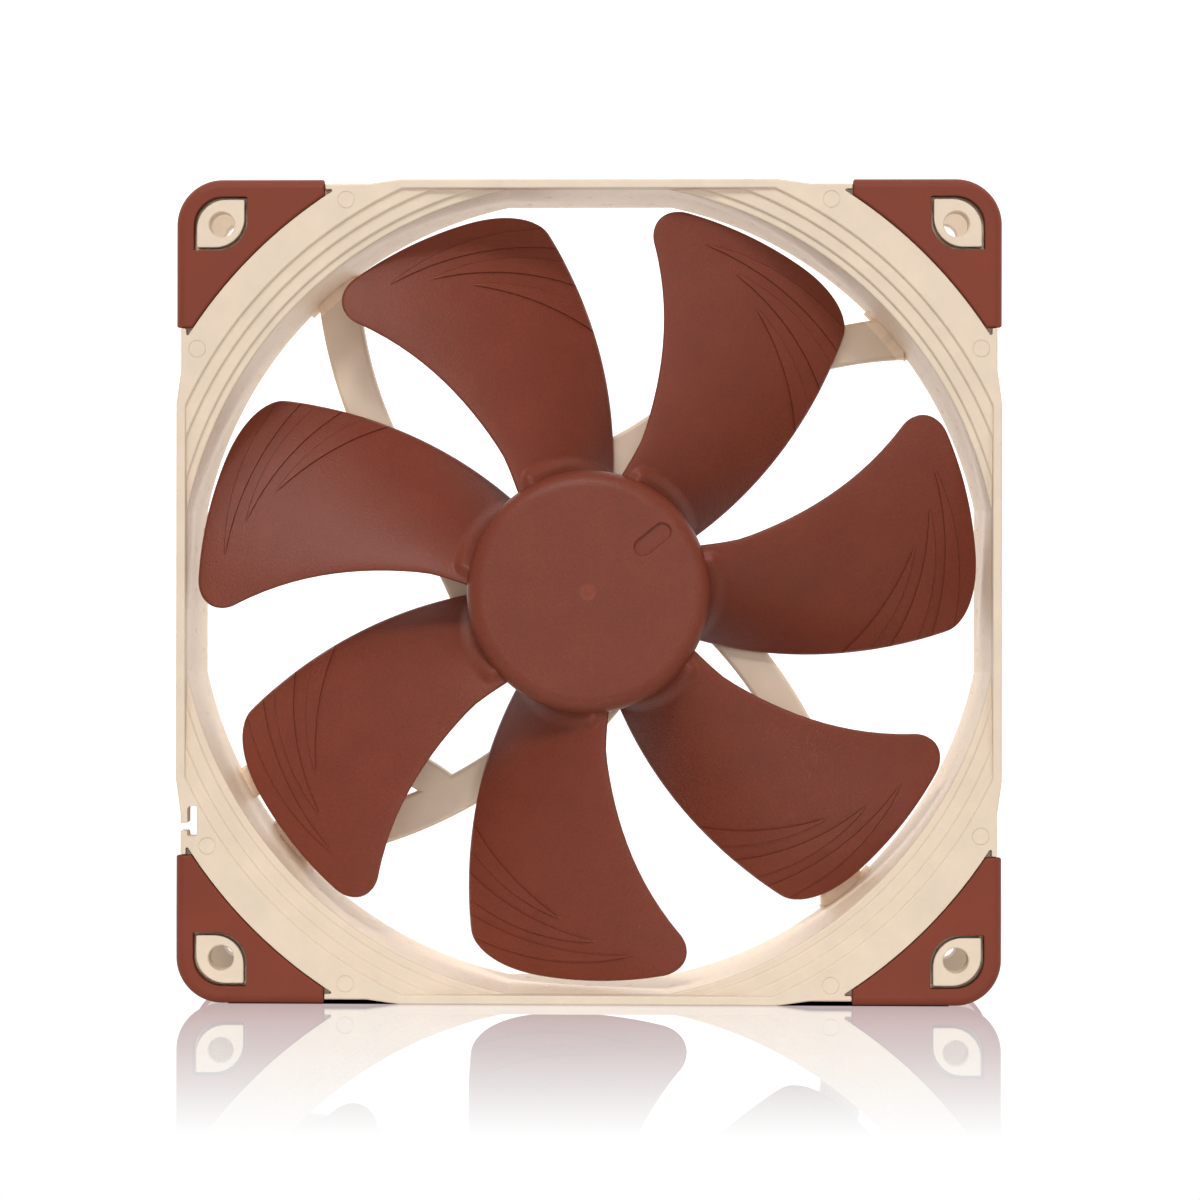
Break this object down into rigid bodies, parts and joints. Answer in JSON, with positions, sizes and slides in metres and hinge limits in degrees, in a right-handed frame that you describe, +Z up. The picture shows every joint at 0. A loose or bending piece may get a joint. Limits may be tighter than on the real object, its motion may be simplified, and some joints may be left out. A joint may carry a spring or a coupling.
{
  "type": "case fan",
  "caption": "Square axial case fan with a stepped inlet, curved rear struts, soft corner pads and a bladed rotor that spins on a sleeve bearing.",
  "frame": {"origin": "on the rotor axis, halfway between the intake and exhaust faces", "axes": "+Z up with the fan standing on its lower edge, +Y along the rotor axis towards the exhaust side, so the intake faces -Y, +X to the right seen from the intake side"},
  "size_m": [0.14, 0.025, 0.14],
  "materials": {
    "frame": "fine matte moulded plastic",
    "pads": "satin silicone",
    "impeller": "matte glass-filled plastic",
    "brass": "turned",
    "bronze": "sintered, oiled",
    "nylon": "natural nylon",
    "black_plastic": "matte",
    "core_steel": "stacked laminations",
    "yoke_steel": "drawn, zinc plated",
    "shaft_steel": "ground",
    "copper": "enamelled wire",
    "ferrite": "sintered",
    "board": "solder mask",
    "components": "ceramic",
    "solder": "tinned",
    "label": "satin foil, blank"
  },
  "bodies": {
    "housing": {"frame": "frame", "intake_pad_top_left": "pads", "intake_pad_top_right": "pads", "intake_pad_bottom_left": "pads", "intake_pad_bottom_right": "pads", "exhaust_pad_top_left": "pads", "exhaust_pad_top_right": "pads", "exhaust_pad_bottom_left": "pads", "exhaust_pad_bottom_right": "pads", "bearing_tube": "brass", "sleeve_bearing": "bronze", "thrust_pad": "black_plastic", "oil_seal": "nylon", "stator_core": "core_steel", "front_insulator": "nylon", "rear_insulator": "nylon", "coil_a": "copper", "coil_b": "copper", "coil_c": "copper", "coil_d": "copper", "circuit_board": "board", "driver_chip": "black_plastic", "board_components": "components", "winding_pins": "solder", "cable_solder_pads": "solder", "rear_label": "label"},
    "rotor": {"impeller": "impeller", "rotor_yoke": "yoke_steel", "rotor_magnet": "ferrite", "shaft_bushing": "brass", "shaft": "shaft_steel", "retaining_clip": "nylon"}
  },
  "joints": [
    {"name": "rotor_spin", "type": "hinge", "parent": "housing", "child": "rotor", "pos_m": [0, 0, 0], "axis": [0, -1, 0], "continuous": true}
  ]
}
